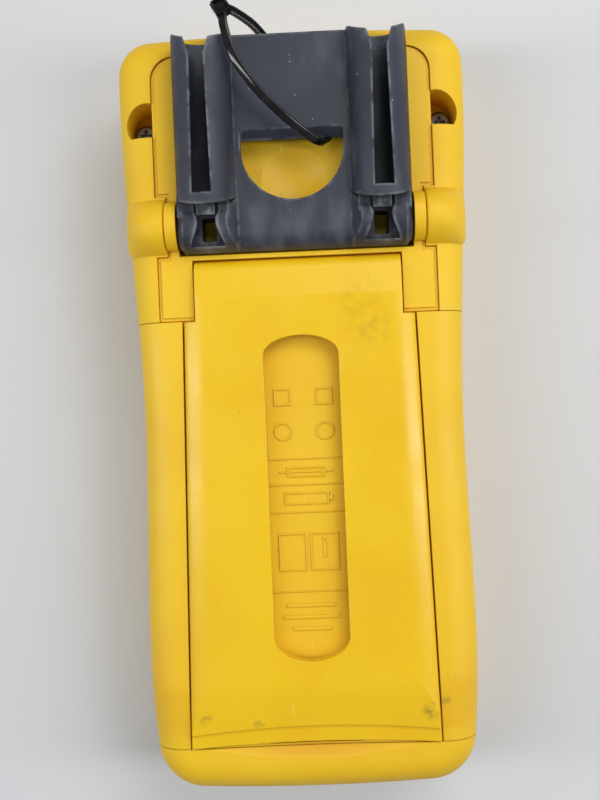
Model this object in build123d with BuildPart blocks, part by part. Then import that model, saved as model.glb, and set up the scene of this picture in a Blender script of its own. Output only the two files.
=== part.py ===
from build123d import *
import os

# A rugged hand-held digital multimeter, lying face down as it is put away: +Z is the outward
# normal of its back, +Y points to the display end and +X is to the right seen from behind.
# A yellow rigid rear case and a dark front case carry soft yellow overmoulds. The back has a
# hinged tilt stand over a battery door, and a hinged dark grey holder for two test probes.
# Everything is drawn about the middle of the case, and save() moves it by FOOTPRINT_SHIFT so
# that the origin is the middle of the whole footprint, on the surface the meter rests on.

# ---------------------------------------------------------------- driving dimensions, in mm

CASE_LENGTH = 222.0
SHOULDER = (50.5, 84.0)  # half width of the case, and where along Y it is measured
WAIST = (46.9, 3.0)
HIP = (48.0, -58.0)
TOP_HALF_WIDTH = 49.9
FOOT_HALF_WIDTH = 45.6
END_BOW = 1.6  # how far the two ends bulge in the middle
TOP_CORNER = 10.0
FOOT_CORNER = 14.0

FOOT_SLOPE = (-79.0, -92.5)  # creases where the back starts to slope towards the foot

PART_Z = 20.0  # parting plane of the two case halves
BACK_Z = 47.0  # back of the overmould
BACK_ROLL = 9.0  # rounding of the back's edge
FRONT_ROLL = 5.0
SKIN = 2.0  # overmould thickness, and the front face's depth behind its rim
WALL = 2.5
RIM_WIDTH = 8.0  # yellow rim round the dark face
SEAM = 0.15  # half the visible gap between two covers

PAD_Z = 46.6  # top of the bare rigid panel in the overmould
PAD_HALF = 40.3
PAD_HIGH = 103.5
PAD_STEP = (0.9, 0.45)  # width and height of the step round the panel
SEAM_HIGH = 27.0  # upper and lower seams of the battery door
SEAM_LOW = -97.0
DOOR_SKIRT_Z = 30.0

HOLDER_AXIS = (54.3, 47.0)  # Y and Z of the probe holder's hinge
BARREL_RADIUS = 8.2
HOLDER_HALF = 33.3
HOLDER_TOP = 107.2
HOLDER_FLOOR = 43.0  # floor of the bay that the holder lies in
TUBE_X = 24.8
TUBE_Z = 52.0
TUBE_RADIUS = 8.3
TUBE_BORE = 6.2
TIP_BORE = 4.9
TIP_Z = 51.0
TIP_LOW = 47.6  # closed end of the pocket for the tip
LEDGE_Y = 60.2
PANEL_HALF = 16.2
PANEL_LOW_Z = 49.0
PANEL_HIGH_Z = 51.5
HUMP_X = 37.2
HUMP_SECTIONS = (  # of the bumpers beside that hinge: X, half length and top
    (HUMP_X, 9.3, 53.8),
    (41.0, 9.3, 53.7),
    (44.0, 9.1, 52.6),
    (46.6, 8.7, 50.2),
    (48.4, 7.9, 46.8),
    (49.3, 6.6, 42.6),
)
HUMP_RADIUS = 8.6
EAR_RADIUS = 7.0
PIN_RADIUS = 1.5
RUNNING_GAP = 0.05

STAND_AXIS = (40.0, 44.3)
STAND_BARREL = 3.0
STAND_TOP = 44.1
STAND_FOOT = -96.7
STAND_Z = 49.5
STAND_BOW = 1.5  # how far its foot arches up in the middle
STAND_SKIN = 3.1
STAND_EDGE_Z = 45.3  # lower edge of the stand's skirt
STAND_NECK_HALF = 29.7
STAND_HALF_TOP = 32.8
STAND_HALF_FOOT = 36.0
STAND_ROLL = (6.2, 2.6)  # across and down, of the rounding along its sides
SLOT_HALF = 10.8
SLOT_HIGH = 21.6
SLOT_LOW = -71.6
LABEL_Z = 44.0  # floor of the stand's recess, with the raised symbols

UPPER_SCREW = (43.9, 84.2)
LOWER_SCREW = (32.0, -78.0)
UPPER_SEAT_Z = 31.0
LOWER_SEAT_Z = 33.0
SCREW_HEAD = (3.3, 2.4)  # radius, height
SCREW_SHANK = 1.5
WELL_CENTRE = (41.5, 84.0)
WELL_RADIUS = 6.3
WELL_LOW = 80.4

BAY_HALF = 37.6
BAY_LOW = -92.6
BAY_HIGH = 23.1
BAY_FLOOR = 26.2
BAY_LEDGE_Z = 41.4
BAY_LEDGE = 1.4
DOOR_FLOOR_Z = 42.2
CELL_RADIUS = 7.1
CELL_PITCH = 15.0
CELL_LENGTH = 50.2
CELL_Z = 33.5
BANK_LOW = (-84.2, -30.6)  # lower end of each bank of cells
CONTACT = 1.2
LATCH = (16.0, -90.0)
LATCH_ARM = 4.6
LATCH_SEAT_Z = 43.2

BOARD_Z = 15.0
BOARD_THICK = 1.6
WINDOW = (34.5, 30.5, 89.5)  # half width, lower and upper edge of the clear opening
KNOB = (0.0, -42.0)
DISH_RADIUS = 25.0
DISH_Z = 7.0
KNOB_RADIUS = 23.5
SHAFT_RADIUS = 4.05
ROTOR_RADIUS = 20.0
SOCKET_Y = -92.0
SOCKET_X = (-28.5, -9.5, 9.5, 28.5)
SOCKET_BORE = 2.02
KEY_X = (-27.0, -9.0, 9.0, 27.0)
SOFTKEY_Y = 17.0
FUNCTION_KEY_Y = 5.0
ROUND_KEY = (33.0, -12.0)
KEY_TRAVEL = 0.8

TIE_HOLE = (8.0, 77.5)  # where the cable tie goes through the holder
TIE_HEAD = (-16.4, 113.9)
TIE_WIDTH = 2.5
TIE_THICK = 1.1
TIE_HEAD_SIZE = (4.8, 5.2, 4.2)
TIE_TOP = TIE_HEAD[1] + TIE_HEAD_SIZE[1] / 2
FOOTPRINT_SHIFT = -(TIE_TOP - CASE_LENGTH / 2) / 2

UPWARD = (Align.CENTER, Align.CENTER, Align.MIN)

os.makedirs("parts", exist_ok=True)


def save(piece, name):
    """Writes one finished sub-part, moved to the shared origin."""
    piece.part.label = name
    moved = piece.part.moved(Location((0, FOOTPRINT_SHIFT, 0)))
    moved.label = name
    export_step(moved, f"parts/{name}.step")


# ---------------------------------------------------------------- shared shapes


def case_plan(inset=0.0):
    """The hourglass outline of the case, drawn that far inside its outer edge."""
    end = CASE_LENGTH / 2 - inset
    top = (TOP_HALF_WIDTH - inset, end - END_BOW)
    foot = (FOOT_HALF_WIDTH - inset, END_BOW - end)
    with BuildSketch() as plan:
        with BuildLine():
            side = Spline(
                top,
                (SHOULDER[0] - inset, SHOULDER[1]),
                (WAIST[0] - inset, WAIST[1]),
                (HIP[0] - inset, HIP[1]),
                foot,
                tangents=[(0.1, -1), (-0.12, -1)],
            )
            mirror(side, about=Plane.YZ)
            ThreePointArc((-top[0], top[1]), (0, end), top)
            ThreePointArc((-foot[0], foot[1]), (0, -end), foot)
        make_face()
        fillet(plan.vertices().group_by(Axis.Y)[-1], max(TOP_CORNER - inset, 1.0))
        fillet(plan.vertices().group_by(Axis.Y)[0], max(FOOT_CORNER - inset, 1.0))
    return plan.sketch


def rear_half(inset):
    """The rear half of the case as a solid, that far inside its outer surface."""
    with BuildPart() as half:
        with BuildSketch(Plane.XY.offset(PART_Z)):
            add(case_plan(inset))
        extrude(amount=BACK_Z - inset - PART_Z)
        back = BACK_Z - inset
        with BuildSketch(Plane.YZ.offset(-60)):
            with BuildLine():
                slope = FilletPolyline(
                    (-60, back), (FOOT_SLOPE[0], back), (FOOT_SLOPE[1], back - 1.4),
                    (-115, back - 2.4), radius=14,
                )
                Polyline(slope @ 1, (-115, back + 5), (-60, back + 5), slope @ 0)
            make_face()
        extrude(amount=120, mode=Mode.SUBTRACT)
        rim = half.edges().filter_by(lambda edge: edge.center().Z > back - 3).filter_by(
            lambda edge: abs(edge.center().X) > 20 or abs(edge.center().Y) > 100
        )
        fillet(rim, BACK_ROLL - inset)
    return half.part


def front_half(inset):
    """The front half of the case as a solid, that far inside its outer surface."""
    with BuildPart() as half:
        with BuildSketch(Plane.XY.offset(inset)):
            add(case_plan(inset))
        extrude(amount=PART_Z - inset)
        fillet(half.faces().sort_by(Axis.Z)[0].edges(), max(FRONT_ROLL - inset, 0.6))
    return half.part


def block(x, y, z, mode=Mode.ADD):
    """A box from its (low, high) span along each axis."""
    with Locations((sum(x) / 2, sum(y) / 2, sum(z) / 2)):
        return Box(x[1] - x[0], y[1] - y[0], z[1] - z[0], mode=mode)


def bar_along_x(yz, radius, low, high, mode=Mode.ADD):
    """A round bar or bore along X, centred on yz."""
    with BuildSketch(Plane.YZ.offset(low)) as section:
        with Locations(yz):
            Circle(radius)
    extrude(section.sketch, amount=high - low, mode=mode)


def pad_plan(gap=0.0):
    """Plan of the bare rigid panel round the probe holder, waisted between the two humps."""
    half = PAD_HALF - gap
    hump_low = HOLDER_AXIS[0] - HUMP_RADIUS
    hump_high = HOLDER_AXIS[0] + HUMP_RADIUS
    with BuildSketch() as plan:
        with Locations((0, (PAD_HIGH + SEAM_HIGH) / 2)):
            Rectangle(2 * half, PAD_HIGH - SEAM_HIGH - 2 * gap)
        fillet(plan.vertices().group_by(Axis.Y)[-1], 7)
        for side in (-1, 1):
            with Locations((side * (HUMP_X + 5), (hump_low + hump_high) / 2)):
                Rectangle(10 + 2 * gap, hump_high - hump_low + 2 * gap, mode=Mode.SUBTRACT)
    return plan.sketch


def well_plan():
    """Plan of the two upper screw wells: round, cut straight towards the panel and the foot."""
    with BuildSketch() as plan:
        for side in (-1, 1):
            with Locations((side * WELL_CENTRE[0], WELL_CENTRE[1])):
                Circle(WELL_RADIUS)
        with Locations((0, WELL_LOW - 10)):
            Rectangle(120, 20, mode=Mode.SUBTRACT)
        Rectangle(2 * PAD_HALF, 220, mode=Mode.SUBTRACT)
    return plan.sketch


def stand_plan(gap=0.0):
    """Plan of the tilt stand, or of its recess with a gap round it."""
    foot = STAND_FOOT - gap
    with BuildSketch() as plan:
        with BuildLine():
            side = Line(
                (STAND_HALF_TOP + gap, STAND_TOP + gap), (STAND_HALF_FOOT + gap, foot)
            )
            mirror(side, about=Plane.YZ)
            Line(side @ 0, (-STAND_HALF_TOP - gap, STAND_TOP + gap))
            ThreePointArc(side @ 1, (0, foot + STAND_BOW), (-STAND_HALF_FOOT - gap, foot))
        make_face()
    return plan.sketch


def slot_plan(grow=0.0):
    """The stand's long window, with shallow half-elliptical ends."""
    width = SLOT_HALF + grow
    high = SLOT_HIGH - 5.5
    low = SLOT_LOW + 6.5
    with BuildSketch() as plan:
        with Locations((0, (high + low) / 2)):
            Rectangle(2 * width, high - low)
        with Locations((0, high)):
            Ellipse(width, 5.5 + grow)
        with Locations((0, low)):
            Ellipse(width, 6.5 + grow)
    return plan.sketch


# ---------------------------------------------------------------- rear case


def make_rear_overmould():
    """Soft skin over the rear case, open at the panel, the battery door and the screw wells."""
    with BuildPart() as skin:
        add(rear_half(0))
        add(rear_half(SKIN), mode=Mode.SUBTRACT)
        with BuildSketch(Plane.XY.offset(BACK_Z - 2 * SKIN)):
            add(pad_plan())
        extrude(amount=3 * SKIN, mode=Mode.SUBTRACT)
        block((-60, 60), (SEAM_LOW, SEAM_HIGH), (DOOR_SKIRT_Z, 60), Mode.SUBTRACT)
        block(
            (-HOLDER_HALF - 0.5, HOLDER_HALF + 0.5), (60, 120), (HOLDER_FLOOR, 60), Mode.SUBTRACT
        )
        with BuildSketch(Plane.XY.offset(UPPER_SEAT_Z)):
            add(well_plan())
        extrude(amount=30, mode=Mode.SUBTRACT)
        add(nail_scoop(), mode=Mode.SUBTRACT)
        add(humps())
    return skin


def nail_scoop():
    """Shallow crescent below the stand's foot, for the fingernail that lifts the stand."""
    half, low, back = 29.7, -101.0, 45.3
    reach = SEAM_LOW - low
    footprint = (half**2 + reach**2) / (2 * reach)
    radius = 359.0
    with BuildPart() as scoop:
        with Locations((0, low + footprint, back + (radius**2 - footprint**2) ** 0.5)):
            Sphere(radius)
        block((-40, 40), (low - 2, STAND_FOOT + STAND_BOW - 0.7), (42, 60), Mode.INTERSECT)
    return scoop.part


def humps():
    """Two half-round bumpers beside the holder's hinge, rolled smoothly into the case sides."""
    base = 40.0
    with BuildPart() as bump:
        for x, half, top in HUMP_SECTIONS:
            with BuildSketch(Plane.YZ.offset(x)):
                with BuildLine():
                    arch = EllipticalCenterArc(
                        (HOLDER_AXIS[0], base), half, top - base, 0, arc_size=180
                    )
                    Line(arch @ 1, arch @ 0)
                make_face()
        loft()
        inner = bump.faces().sort_by(Axis.X)[0]
        fillet(inner.edges().sort_by(Axis.Z)[-1], 0.8)
        add(rear_half(SKIN), mode=Mode.SUBTRACT)
        mirror(about=Plane.YZ)
    return bump.part


def make_rear_case():
    """Rigid rear shell: battery bay, bays for the holder and stand, hinge ears, screw bosses."""
    with BuildPart() as case:
        add(rear_half(SKIN))
        add(rear_half(SKIN + WALL), mode=Mode.SUBTRACT)
        add(deck())
        with BuildSketch(Plane.XY.offset(BACK_Z - 2 * SKIN)):
            add(pad_plan(SEAM))
        extrude(amount=PAD_Z - PAD_STEP[1] - BACK_Z + 2 * SKIN)
        with BuildSketch(Plane.XY.offset(BACK_Z - 2 * SKIN)):
            add(pad_plan(SEAM + PAD_STEP[0]))
        extrude(amount=PAD_Z - BACK_Z + 2 * SKIN)
        holder_half = HOLDER_HALF + 0.5
        block((-holder_half, holder_half), (60, 120), (HOLDER_FLOOR, 60), Mode.SUBTRACT)
        bar_along_x(HOLDER_AXIS, BARREL_RADIUS + 0.4, -holder_half, holder_half, Mode.SUBTRACT)
        stand_half = STAND_NECK_HALF + 0.5
        neck_high = STAND_TOP + 0.3
        block(
            (-stand_half, stand_half), (SEAM_HIGH - 1, neck_high), (STAND_AXIS[1], 60), Mode.SUBTRACT
        )
        bar_along_x(STAND_AXIS, 4.4, -stand_half, stand_half, Mode.SUBTRACT)
        dish_depth, dish_half = 2.5, 9.5
        dish_radius = (dish_half**2 + dish_depth**2) / (2 * dish_depth)
        with Locations((0, 67.0, HOLDER_FLOOR - dish_depth + dish_radius)):
            Sphere(dish_radius, mode=Mode.SUBTRACT)
        for side in (-1, 1):
            ear = sorted((side * holder_half, side * (HUMP_X - 0.2)))
            bar_along_x(HOLDER_AXIS, EAR_RADIUS, *ear)
            bar_along_x(
                HOLDER_AXIS, PIN_RADIUS, *sorted((side * holder_half, side * 36.9)), Mode.SUBTRACT
            )
            bar_along_x(
                STAND_AXIS, PIN_RADIUS, *sorted((side * stand_half, side * 34.5)), Mode.SUBTRACT
            )
        add(screw_bosses())
        cut_screw_holes()
        add(battery_tray())
        add(battery_bay(), mode=Mode.SUBTRACT)
        with BuildSketch(Plane.XY.offset(PART_Z)):
            add(case_plan(SKIN + 0.8))
            add(case_plan(SKIN + 1.7), mode=Mode.SUBTRACT)
        extrude(amount=0.9, mode=Mode.SUBTRACT)
    return case


def deck():
    """The thick back plate under the holder and the stand's hinge."""
    with BuildPart() as plate:
        add(rear_half(SKIN))
        block((-36, 36), (25.5, 106.5), (36, BACK_Z), Mode.INTERSECT)
    return plate.part


def screw_bosses():
    """Bosses for the four case screws, inside the case's skin."""
    with BuildPart() as bosses:
        with BuildSketch(Plane.XY.offset(PART_Z)):
            for side in (-1, 1):
                with Locations((side * (UPPER_SCREW[0] - 1.4), UPPER_SCREW[1])):
                    Circle(6.8)
        extrude(amount=BACK_Z - PART_Z)
        add(rear_half(SKIN), mode=Mode.INTERSECT)
        with BuildSketch(Plane.XY.offset(PART_Z)):
            for side in (-1, 1):
                with Locations((side * LOWER_SCREW[0], LOWER_SCREW[1])):
                    Circle(4.5)
        extrude(amount=LOWER_SEAT_Z - PART_Z)
    return bosses.part


def cut_screw_holes():
    """Wells and clearance holes of the case screws, cut in the part being built."""
    with BuildSketch(Plane.XY.offset(UPPER_SEAT_Z)) as wells:
        add(well_plan())
    extrude(wells.sketch, amount=30, mode=Mode.SUBTRACT)
    with BuildSketch(Plane.XY.offset(PART_Z)) as holes:
        for side in (-1, 1):
            with Locations(
                (side * UPPER_SCREW[0], UPPER_SCREW[1]), (side * LOWER_SCREW[0], LOWER_SCREW[1])
            ):
                Circle(SCREW_SHANK + 0.3)
    extrude(holes.sketch, amount=UPPER_SEAT_Z + 3 - PART_Z, mode=Mode.SUBTRACT)


def battery_tray():
    """Walls and floor of the battery bay, with the columns of the lower screws."""
    with BuildPart() as tray:
        edge = BAY_LEDGE + 1.5
        block(
            (-BAY_HALF - edge, BAY_HALF + edge),
            (BAY_LOW - edge, BAY_HIGH + edge),
            (BAY_FLOOR - 1.7, 43.1),
        )
        for side in (-1, 1):
            with Locations((side * LOWER_SCREW[0], LOWER_SCREW[1], PART_Z)):
                Cylinder(
                    SCREW_SHANK + 0.3, 20, align=UPWARD,
                    mode=Mode.SUBTRACT,
                )
    return tray.part


def battery_bay():
    """The hollow of the bay, less its columns and dividing ribs."""
    with BuildPart() as bay:
        block((-BAY_HALF, BAY_HALF), (BAY_LOW, BAY_HIGH), (BAY_FLOOR, 60))
        for low, high in ((BANK_LOW[0] - CONTACT - 1, BANK_LOW[0] - CONTACT), (-32.8, -31.8)):
            block((-22.3, 22.3), (low, high), (BAY_FLOOR, 38), Mode.SUBTRACT)
        block((-22.3, 22.3), (20.8, BAY_HIGH), (BAY_FLOOR, 38), Mode.SUBTRACT)
        for side in (-1, 1):
            rib = sorted((side * 22.7, side * 23.7))
            block(rib, (BANK_LOW[0], BAY_HIGH), (BAY_FLOOR, 36), Mode.SUBTRACT)
            with Locations((side * LOWER_SCREW[0], LOWER_SCREW[1], BAY_FLOOR)):
                Cylinder(4.5, LOWER_SEAT_Z - BAY_FLOOR, align=UPWARD, mode=Mode.SUBTRACT)
        block(
            (-BAY_HALF - BAY_LEDGE, BAY_HALF + BAY_LEDGE),
            (BAY_LOW - BAY_LEDGE, BAY_HIGH + BAY_LEDGE),
            (BAY_LEDGE_Z, 60),
        )
        for side in (-1, 1):
            x = side * LATCH[0]
            block((x - 4.5, x + 4.5), (LATCH[1] - LATCH_ARM - 0.6, BAY_LOW + 1), (37.8, 40.4))
            x = side * 22.0
            block((x - 5.4, x + 5.4), (BAY_HIGH - 0.1, 27.2), (38.3, 40.9))
    return bay.part


def make_battery_door():
    """Door over the lower back: side skirts, a recess for the stand and a raised symbol panel."""
    with BuildPart() as door:
        add(rear_half(0))
        add(rear_half(SKIN), mode=Mode.SUBTRACT)
        block(
            (-60, 60), (SEAM_LOW + SEAM, SEAM_HIGH - SEAM), (DOOR_SKIRT_Z + 0.2, 60), Mode.INTERSECT
        )
        edge = BAY_LEDGE - 0.2
        block(
            (-BAY_HALF - edge, BAY_HALF + edge), (BAY_LOW - edge, BAY_HIGH + edge),
            (DOOR_FLOOR_Z, 45.4),
        )
        with BuildSketch(Plane.XY.offset(LABEL_Z)):
            add(stand_plan(0.5))
        extrude(amount=20, mode=Mode.SUBTRACT)
        for side in (-1, 1):
            x = side * 22.0
            block((x - 5, x + 5), (BAY_HIGH - 1.9, BAY_HIGH - 0.3), (38.6, DOOR_FLOOR_Z))
            block((x - 5, x + 5), (BAY_HIGH - 1.9, 26.6), (38.6, 40.6))
            with Locations((side * LATCH[0], LATCH[1], DOOR_FLOOR_Z - 1)):
                Cylinder(2.6, 4, align=UPWARD, mode=Mode.SUBTRACT)
            with Locations((side * LATCH[0], LATCH[1], LATCH_SEAT_Z)):
                Cylinder(4.4, 4, align=UPWARD, mode=Mode.SUBTRACT)
        add(nail_scoop(), mode=Mode.SUBTRACT)
        add(label_relief())
    return door


def label_relief():
    """Raised lines on the door: rulings, an open book, a cell symbol, a fuse symbol and bars."""
    with BuildPart() as relief:
        with BuildSketch(Plane.XY.offset(LABEL_Z - 0.2)):
            for y in (-14.0, -21.5, -29.5, -52.5):
                with Locations((0, y)):
                    Rectangle(36, 0.35)
            for side in (-1, 1):
                page = side * 4.6
                with Locations((page, -41.0)):
                    Rectangle(8.2, 11.0)
                    Rectangle(7.2, 10.0, mode=Mode.SUBTRACT)
            with Locations((4.6, -40.4)):
                Rectangle(0.9, 4.6)
            with Locations((4.6, -37.1)):
                Circle(0.6)
            with Locations((0, -25.5)):
                Rectangle(13, 3.6)
                Rectangle(12, 2.6, mode=Mode.SUBTRACT)
            with Locations((7.1, -25.5)):
                Rectangle(1.0, 1.6)
            with Locations((0, -17.8)):
                Rectangle(11, 3.0)
                Rectangle(10, 2.0, mode=Mode.SUBTRACT)
                Rectangle(15.5, 0.45)
            for row, width in enumerate((14.0, 16.0, 11.0)):
                with Locations((0, -56.5 - 3.4 * row)):
                    Rectangle(width, 1.0)
            with Locations((-6.0, 4.0), (6.0, 4.0)):
                Rectangle(5.0, 5.0)
                Rectangle(4.0, 4.0, mode=Mode.SUBTRACT)
            with Locations((-6.0, -6.0), (6.0, -6.0)):
                Circle(2.7)
                Circle(2.15, mode=Mode.SUBTRACT)
        extrude(amount=0.5)
    return relief.part


def make_door_seal():
    """Gasket between the bay's ledge and the door."""
    with BuildPart() as seal:
        block(
            (-BAY_HALF - 1.1, BAY_HALF + 1.1), (BAY_LOW - 1.1, BAY_HIGH + 1.1),
            (BAY_LEDGE_Z, DOOR_FLOOR_Z),
        )
        block(
            (-BAY_HALF - 0.2, BAY_HALF + 0.2), (BAY_LOW - 0.2, BAY_HIGH + 0.2),
            (BAY_LEDGE_Z, DOOR_FLOOR_Z), Mode.SUBTRACT,
        )
    return seal


def make_door_latch(side):
    """Quarter-turn latch: slotted head on the door, arm under the end wall of the bay."""
    with BuildPart() as latch:
        with Locations((side * LATCH[0], LATCH[1], LATCH_SEAT_Z + 0.05)):
            Cylinder(4.0, 1.4, align=UPWARD)
        fillet(latch.faces().sort_by(Axis.Z)[-1].edges(), 0.4)
        with Locations((side * LATCH[0], LATCH[1], LATCH_SEAT_Z + 1.5)):
            Box(6.0, 1.1, 1.6, mode=Mode.SUBTRACT)
        with Locations((side * LATCH[0], LATCH[1], 38.0)):
            Cylinder(2.54, LATCH_SEAT_Z + 0.1 - 38.0, align=UPWARD)
        x = side * LATCH[0]
        block((x - 1.8, x + 1.8), (LATCH[1] - LATCH_ARM + 0.3, LATCH[1]), (38.0, 40.2))
    return latch


# ---------------------------------------------------------------- tilt stand


def make_tilt_stand():
    """Pan-shaped stand: rolled sides, a long window, a hinge barrel across its upper end."""
    with BuildPart() as stand:
        add(stand_shell(0))
        add(stand_shell(STAND_SKIN), mode=Mode.SUBTRACT)
        block((-60, 60), (-120, 80), (0, STAND_EDGE_Z), Mode.SUBTRACT)
        add(stand_lip(), mode=Mode.SUBTRACT)
        with BuildSketch(Plane.XY.offset(30)):
            add(slot_plan(2.0))
        extrude(amount=STAND_Z - 1.2 - 30)
        with BuildSketch(Plane.XY.offset(20)):
            add(slot_plan(0))
        extrude(amount=40, mode=Mode.SUBTRACT)
        block((-60, 60), (-120, 30), (0, STAND_EDGE_Z), Mode.SUBTRACT)
        for side in (-1, 1):
            edge = sorted((side * STAND_NECK_HALF, side * 50))
            block(edge, (SEAM_HIGH - 0.4, 60), (30, 60), Mode.SUBTRACT)
        bar_along_x(STAND_AXIS, STAND_BARREL, -STAND_NECK_HALF, STAND_NECK_HALF)
        for side in (-1, 1):
            hole = sorted((side * 25.8, side * 31))
            bar_along_x(STAND_AXIS, PIN_RADIUS + RUNNING_GAP, *hole, Mode.SUBTRACT)
    return stand


def stand_shell(inset):
    """The stand's outer form as a solid slab, that far inside its surface."""
    top = STAND_Z - inset
    bend = STAND_TOP - STAND_AXIS[0] + 0.05 - inset
    with BuildPart() as slab:
        with BuildSketch(Plane.XY.offset(30)):
            add(stand_plan(-inset))
        extrude(amount=top - 30)
        for side in (-1, 1):
            add(side_roll(side, top, inset), mode=Mode.SUBTRACT)
        # The lower end slopes away to the foot, and the upper end rolls over the barrel
        with BuildSketch(Plane.YZ.offset(-60)):
            with BuildLine():
                slope = FilletPolyline(
                    (-50, top), (-80.0, top), (-92.0, top - 1.8), (-101.0, top - 3.2), radius=30
                )
                Polyline(slope @ 1, (-101, top + 5), (-50, top + 5), slope @ 0)
            make_face()
            with BuildLine():
                roll = CenterArc(STAND_AXIS, bend, 0, 75)
                Polyline(roll @ 1, (33, top), (33, 60), (50, 60), (50, STAND_AXIS[1]), roll @ 0)
            make_face()
        extrude(amount=120, mode=Mode.SUBTRACT)
    return slab.part


def side_roll(side, top, inset):
    """What is taken off one long edge of the stand to leave it rounded."""
    across, down = STAND_ROLL
    upper = Vector(side * (STAND_HALF_TOP - inset), STAND_TOP, top - down)
    lower = Vector(side * (STAND_HALF_FOOT - inset), STAND_FOOT, top - down)
    first, last = (upper, lower) if side > 0 else (lower, upper)
    along = last - first
    with BuildPart() as roll:
        with BuildSketch(Plane(first - along * 0.1, (side, 0, 0), along)):
            with BuildLine():
                corner = EllipticalCenterArc((-across, 0), across, down, 0, arc_size=90)
                Polyline(corner @ 1, (-across, 12), (6, 12), (6, 0), corner @ 0)
            make_face()
        extrude(amount=along.length * 1.2)
    return roll.part


def stand_lip():
    """What is taken off the stand's foot to leave a lip just below the main surface."""
    with BuildPart() as lip:
        with BuildSketch(Plane.XY.offset(40)):
            with BuildLine():
                crease = ThreePointArc((-40, -93.2), (0, -90.4), (40, -93.2))
                Polyline(crease @ 1, (40, -100), (-40, -100), crease @ 0)
            make_face()
        extrude(amount=20)
        with BuildSketch(Plane.YZ.offset(-60)):
            with BuildLine():
                Polyline((-88, 47.3), (-100, 45.9), (-100, 60), (-88, 60), close=True)
            make_face()
        extrude(amount=120, mode=Mode.INTERSECT)
    return lip.part


# ---------------------------------------------------------------- probe holder


def make_probe_holder():
    """Holder with two slotted tubes for test probes, a strap hole and a hinge barrel."""
    with BuildPart() as holder:
        block((-HOLDER_HALF, HOLDER_HALF), (56, HOLDER_TOP), (PANEL_LOW_Z, PANEL_HIGH_Z))
        block((-HOLDER_HALF, HOLDER_HALF), (HOLDER_AXIS[0], LEDGE_Y + 2), (44.5, PANEL_HIGH_Z))
        add(holder_barrel())
        add(barrel_trim(), mode=Mode.SUBTRACT)
        for side in (-1, 1):
            add(probe_tube(side))
        for side in (-1, 1):
            cut_probe_channel(side)
        cut_strap_hole()
        for side in (-1, 1):
            hole_span = sorted((side * 30.2, side * 34))
            bar_along_x(HOLDER_AXIS, PIN_RADIUS + RUNNING_GAP, *hole_span, Mode.SUBTRACT)
    return holder


def holder_barrel():
    """The holder's hinge barrel, bevelled at both ends."""
    with BuildPart() as barrel:
        bar_along_x(HOLDER_AXIS, BARREL_RADIUS, -HOLDER_HALF, HOLDER_HALF)
        chamfer(barrel.edges().filter_by(GeomType.CIRCLE), 1.6)
    return barrel.part


def cut_strap_hole():
    """Cuts the half-moon strap hole through panel and barrel, its straight edge bevelled."""
    centre, radius = 74.7, 14.6
    inner_edge, outer_edge = 77.5, 80.2
    with BuildSketch(Plane.XY.offset(36)) as hole:
        with Locations((0, centre)):
            Circle(radius)
            with Locations((0, (inner_edge - centre) / 2)):
                Rectangle(2 * radius, inner_edge - centre)
        with Locations((0, inner_edge + 15)):
            Rectangle(40, 30, mode=Mode.SUBTRACT)
    extrude(hole.sketch, amount=30, mode=Mode.SUBTRACT)
    with BuildSketch(Plane.YZ.offset(-radius)) as bevel:
        with BuildLine():
            Polyline(
                (inner_edge - 1, PANEL_LOW_Z - 0.1), (inner_edge, PANEL_LOW_Z + 0.2),
                (outer_edge, PANEL_HIGH_Z), (outer_edge, PANEL_HIGH_Z + 2),
                (inner_edge - 1, PANEL_HIGH_Z + 2), close=True,
            )
        make_face()
    extrude(bevel.sketch, amount=2 * radius, mode=Mode.SUBTRACT)


def barrel_trim():
    """What is taken off the barrel: level with the panel in the middle, bevelled beside it."""
    with BuildPart() as trim:
        with BuildSketch(Plane.YZ.offset(-PANEL_HALF)):
            with BuildLine():
                roll = ThreePointArc((51.2, PANEL_HIGH_Z), (47.6, 50.0), (46.0, 46.4))
                Polyline(roll @ 1, (44, 46.4), (44, 60), (66, 60), (66, PANEL_HIGH_Z), roll @ 0)
            make_face()
        extrude(amount=2 * PANEL_HALF)
        with BuildSketch(Plane.XZ.offset(-LEDGE_Y - 1)):
            with BuildLine():
                Polyline(
                    (PANEL_HALF - 0.1, PANEL_HIGH_Z), (PANEL_HALF + 3.4, 56), (0, 60),
                    (0, PANEL_HIGH_Z), close=True,
                )
            make_face()
            with BuildLine():
                Polyline(
                    (HOLDER_HALF + 0.1, 52.6), (HOLDER_HALF - 1.8, 56), (HOLDER_HALF + 1, 60),
                    close=True,
                )
            make_face()
            mirror(about=Plane.YZ)
        extrude(amount=20)
    return trim.part


def probe_tube(side):
    """One tube, its upper end bevelled and its lower end overhanging the barrel."""
    with BuildPart() as tube:
        with BuildSketch(Plane.XZ.offset(-HOLDER_TOP)):
            with Locations((side * TUBE_X, TUBE_Z)):
                Circle(TUBE_RADIUS)
        extrude(amount=HOLDER_TOP - LEDGE_Y + 3)
        with BuildSketch(Plane.YZ.offset(-60)):
            with BuildLine():
                Polyline(
                    (LEDGE_Y + 1.2, 40), (LEDGE_Y + 1.2, TUBE_Z), (LEDGE_Y - 2.2, 61),
                    (HOLDER_TOP - 3.4, 61), (HOLDER_TOP, 54.5), (HOLDER_TOP, 40), close=True,
                )
            make_face()
        extrude(amount=120, mode=Mode.INTERSECT)
        shoulder = sorted((side * (TUBE_X - 6.6), side * (TUBE_X + 8.2)))
        block(shoulder, (55.6, LEDGE_Y + 2), (48, 54.6))
        bridge = sorted((side * (TUBE_X - 2.6), side * (TUBE_X + 2.6)))
        block(bridge, (55.9, LEDGE_Y + 2), (54, 56.0))
    return tube.part


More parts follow.
